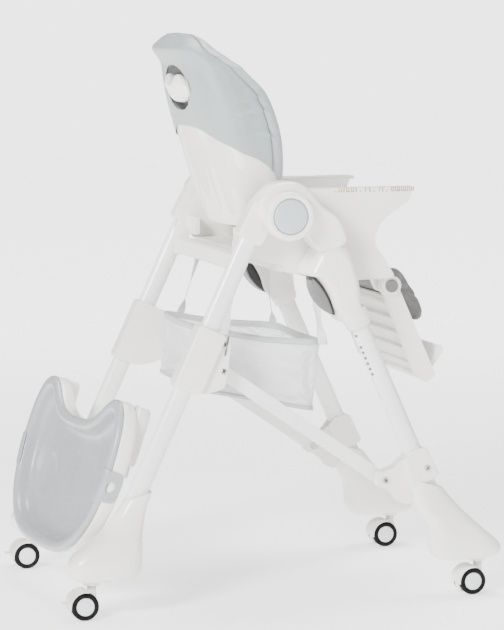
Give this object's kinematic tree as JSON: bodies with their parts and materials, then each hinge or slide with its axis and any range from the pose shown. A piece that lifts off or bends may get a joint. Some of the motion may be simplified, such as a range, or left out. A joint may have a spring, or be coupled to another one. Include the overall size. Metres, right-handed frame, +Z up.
{
  "type": "baby high chair",
  "caption": "Folding baby high chair with A-frame legs on casters, bucket seat, reclining back, footrest, basket and parked tray.",
  "frame": {"origin": "on the floor, below the middle of the whole chair", "axes": "+X forward, +Y the child's left, +Z up"},
  "size_m": [0.828, 0.54, 1.0265],
  "materials": {
    "white_plastic": "satin moulded shells",
    "white_tube": "gloss powder coat",
    "soft_white": "white coated cloth",
    "grey_leather": "grey coated leathercloth",
    "light_grey_button": "satin",
    "dark_grey_plastic": "satin",
    "tray_grey": "satin",
    "steel": "zinc plated",
    "tyre_black": "matt",
    "wheel_white": "satin",
    "mesh_white": "knitted mesh",
    "strap_grey": "woven webbing",
    "strap_white": "woven tape"
  },
  "bodies": {
    "front_frame": {"front_leg_tube_left": "white_tube", "front_leg_tube_right": "white_tube", "front_connector_left": "white_plastic", "front_connector_right": "white_plastic", "front_foot_left": "white_plastic", "front_foot_right": "white_plastic", "front_bracket_left": "white_plastic", "front_bracket_right": "white_plastic", "front_frame_fasteners": "steel", "front_caster_stems": "steel"},
    "rear_frame": {"rear_leg_tube_left": "white_tube", "rear_leg_tube_right": "white_tube", "rear_connector_left": "white_plastic", "rear_connector_right": "white_plastic", "rear_foot_left": "white_plastic", "rear_foot_right": "white_plastic", "rear_crossbar": "white_plastic", "rear_caster_stems": "steel"},
    "collar_left": {"fold_collar_left": "white_plastic", "collar_fasteners_left": "steel"},
    "link_left": {"link_bar_left": "white_tube"},
    "collar_right": {"fold_collar_right": "white_plastic", "collar_fasteners_right": "steel"},
    "link_right": {"link_bar_right": "white_tube"},
    "fold_button_left": {"fold_button_left": "light_grey_button"},
    "fold_button_right": {"fold_button_right": "light_grey_button"},
    "seat": {"seat_shell": "white_plastic", "seat_carriage_left": "white_plastic", "seat_carriage_right": "white_plastic", "seat_cushion": "grey_leather", "harness": "strap_grey", "basket": "mesh_white", "basket_straps": "strap_white"},
    "height_lever_left": {"height_lever_left": "dark_grey_plastic"},
    "height_lever_right": {"height_lever_right": "dark_grey_plastic"},
    "back": {"back_shell": "soft_white", "back_cover": "grey_leather", "back_cushion": "grey_leather"},
    "recline_handle": {"recline_handle": "white_plastic"},
    "footrest": {"footrest_frame": "white_plastic", "footrest_pins": "dark_grey_plastic", "calf_pad": "grey_leather"},
    "tray": {"tray_base": "white_plastic"},
    "tray_insert": {"tray_insert": "tray_grey"},
    "tray_latch_left": {"tray_latch_left": "white_plastic"},
    "tray_latch_right": {"tray_latch_right": "white_plastic"},
    "caster_front_left": {"caster_hood_front_left": "white_plastic"},
    "wheels_front_left": {"caster_rims_front_left": "wheel_white", "caster_tyres_front_left": "tyre_black"},
    "caster_front_right": {"caster_hood_front_right": "white_plastic"},
    "wheels_front_right": {"caster_rims_front_right": "wheel_white", "caster_tyres_front_right": "tyre_black"},
    "caster_rear_left": {"caster_hood_rear_left": "white_plastic"},
    "wheels_rear_left": {"caster_rims_rear_left": "wheel_white", "caster_tyres_rear_left": "tyre_black"},
    "caster_rear_right": {"caster_hood_rear_right": "white_plastic"},
    "wheels_rear_right": {"caster_rims_rear_right": "wheel_white", "caster_tyres_rear_right": "tyre_black"},
    "brake_pedal_left": {"brake_pedal_left": "white_plastic"},
    "brake_pedal_right": {"brake_pedal_right": "white_plastic"}
  },
  "joints": [
    {"name": "rear_fold", "type": "hinge", "parent": "front_frame", "child": "rear_frame", "pos_m": [0.002, 0, 0.708], "axis": [0, -1, 0], "range_deg": [0, 36], "deforming": ["basket_straps"]},
    {"name": "collar_slide_left", "type": "slide", "parent": "rear_frame", "child": "collar_left", "axis": [0.4171, 0, 0.9089], "range_m": [0, 0.1462]},
    {"name": "link_swing_left", "type": "hinge", "parent": "front_frame", "child": "link_left", "pos_m": [0.199, 0, 0.216], "axis": [0, 1, 0], "range_deg": [0, 31.4]},
    {"name": "collar_slide_right", "type": "slide", "parent": "rear_frame", "child": "collar_right", "axis": [0.4171, 0, 0.9089], "range_m": [0, 0.1462]},
    {"name": "link_swing_right", "type": "hinge", "parent": "front_frame", "child": "link_right", "pos_m": [0.199, 0, 0.216], "axis": [0, 1, 0], "range_deg": [0, 31.4]},
    {"name": "fold_button_push_left", "type": "slide", "parent": "front_frame", "child": "fold_button_left", "axis": [0, -1, 0], "range_m": [0, 0.0035], "stiffness_N_per_m": 1500},
    {"name": "fold_button_push_right", "type": "slide", "parent": "front_frame", "child": "fold_button_right", "axis": [0, 1, 0], "range_m": [0, 0.0035], "stiffness_N_per_m": 1500},
    {"name": "seat_height", "type": "slide", "parent": "front_frame", "child": "seat", "axis": [-0.4074, 0, 0.9133], "range_m": [-0.145, 0]},
    {"name": "height_lever_squeeze_left", "type": "hinge", "parent": "seat", "child": "height_lever_left", "pos_m": [0.06, 0, 0.605], "axis": [0, -1, 0], "range_deg": [0, 3], "stiffness_Nm_per_rad": 6},
    {"name": "height_lever_squeeze_right", "type": "hinge", "parent": "seat", "child": "height_lever_right", "pos_m": [0.06, 0, 0.605], "axis": [0, -1, 0], "range_deg": [0, 3], "stiffness_Nm_per_rad": 6},
    {"name": "back_recline", "type": "hinge", "parent": "seat", "child": "back", "pos_m": [0.034, 0, 0.65], "axis": [0, -1, 0], "range_deg": [0, 20]},
    {"name": "recline_handle_pull", "type": "slide", "parent": "back", "child": "recline_handle", "axis": [-0.2756, 0, 0.9613], "range_m": [0, 0.01], "stiffness_N_per_m": 500},
    {"name": "footrest_swing", "type": "hinge", "parent": "seat", "child": "footrest", "pos_m": [0.229, 0, 0.568], "axis": [0, -1, 0], "range_deg": [0, 60]},
    {"name": "tray_unhook", "type": "slide", "parent": "rear_frame", "child": "tray", "axis": [-0.9442, -0.0942, 0.3156], "range_m": [0, 0.15]},
    {"name": "tray_insert_lift", "type": "slide", "parent": "tray", "child": "tray_insert", "axis": [-0.9442, -0.0942, 0.3156], "range_m": [0, 0.08]},
    {"name": "tray_latch_squeeze_left", "type": "slide", "parent": "tray", "child": "tray_latch_left", "axis": [0.0993, -0.9951, 0], "range_m": [0, 0.004], "stiffness_N_per_m": 800},
    {"name": "tray_latch_squeeze_right", "type": "slide", "parent": "tray", "child": "tray_latch_right", "axis": [-0.0993, 0.9951, 0], "range_m": [0, 0.004], "stiffness_N_per_m": 800},
    {"name": "caster_swivel_front_left", "type": "hinge", "parent": "front_frame", "child": "caster_front_left", "pos_m": [0.376, 0.235, 0.05], "axis": [0, 0, 1], "continuous": true},
    {"name": "wheel_spin_front_left", "type": "hinge", "parent": "caster_front_left", "child": "wheels_front_left", "pos_m": [0.36, 0.235, 0.025], "axis": [0, 1, 0], "continuous": true},
    {"name": "caster_swivel_front_right", "type": "hinge", "parent": "front_frame", "child": "caster_front_right", "pos_m": [0.376, -0.235, 0.05], "axis": [0, 0, 1], "continuous": true},
    {"name": "wheel_spin_front_right", "type": "hinge", "parent": "caster_front_right", "child": "wheels_front_right", "pos_m": [0.36, -0.235, 0.025], "axis": [0, 1, 0], "continuous": true},
    {"name": "caster_swivel_rear_left", "type": "hinge", "parent": "rear_frame", "child": "caster_rear_left", "pos_m": [-0.359, 0.235, 0.05], "axis": [0, 0, 1], "continuous": true},
    {"name": "wheel_spin_rear_left", "type": "hinge", "parent": "caster_rear_left", "child": "wheels_rear_left", "pos_m": [-0.375, 0.235, 0.025], "axis": [0, 1, 0], "continuous": true},
    {"name": "caster_swivel_rear_right", "type": "hinge", "parent": "rear_frame", "child": "caster_rear_right", "pos_m": [-0.359, -0.235, 0.05], "axis": [0, 0, 1], "continuous": true},
    {"name": "wheel_spin_rear_right", "type": "hinge", "parent": "caster_rear_right", "child": "wheels_rear_right", "pos_m": [-0.375, -0.235, 0.025], "axis": [0, 1, 0], "continuous": true},
    {"name": "brake_press_left", "type": "hinge", "parent": "caster_rear_left", "child": "brake_pedal_left", "pos_m": [-0.4035, 0.235, 0.029], "axis": [0, -1, 0], "range_deg": [0, 12]},
    {"name": "brake_press_right", "type": "hinge", "parent": "caster_rear_right", "child": "brake_pedal_right", "pos_m": [-0.4035, -0.235, 0.029], "axis": [0, -1, 0], "range_deg": [0, 12]}
  ],
  "couplings": [
    {"joint": "collar_slide_left", "follows": "rear_fold", "m_per_rad": 0.2325},
    {"joint": "link_swing_left", "follows": "rear_fold", "ratio": 0.869},
    {"joint": "collar_slide_right", "follows": "rear_fold", "m_per_rad": 0.2325},
    {"joint": "link_swing_right", "follows": "rear_fold", "ratio": 0.869}
  ]
}
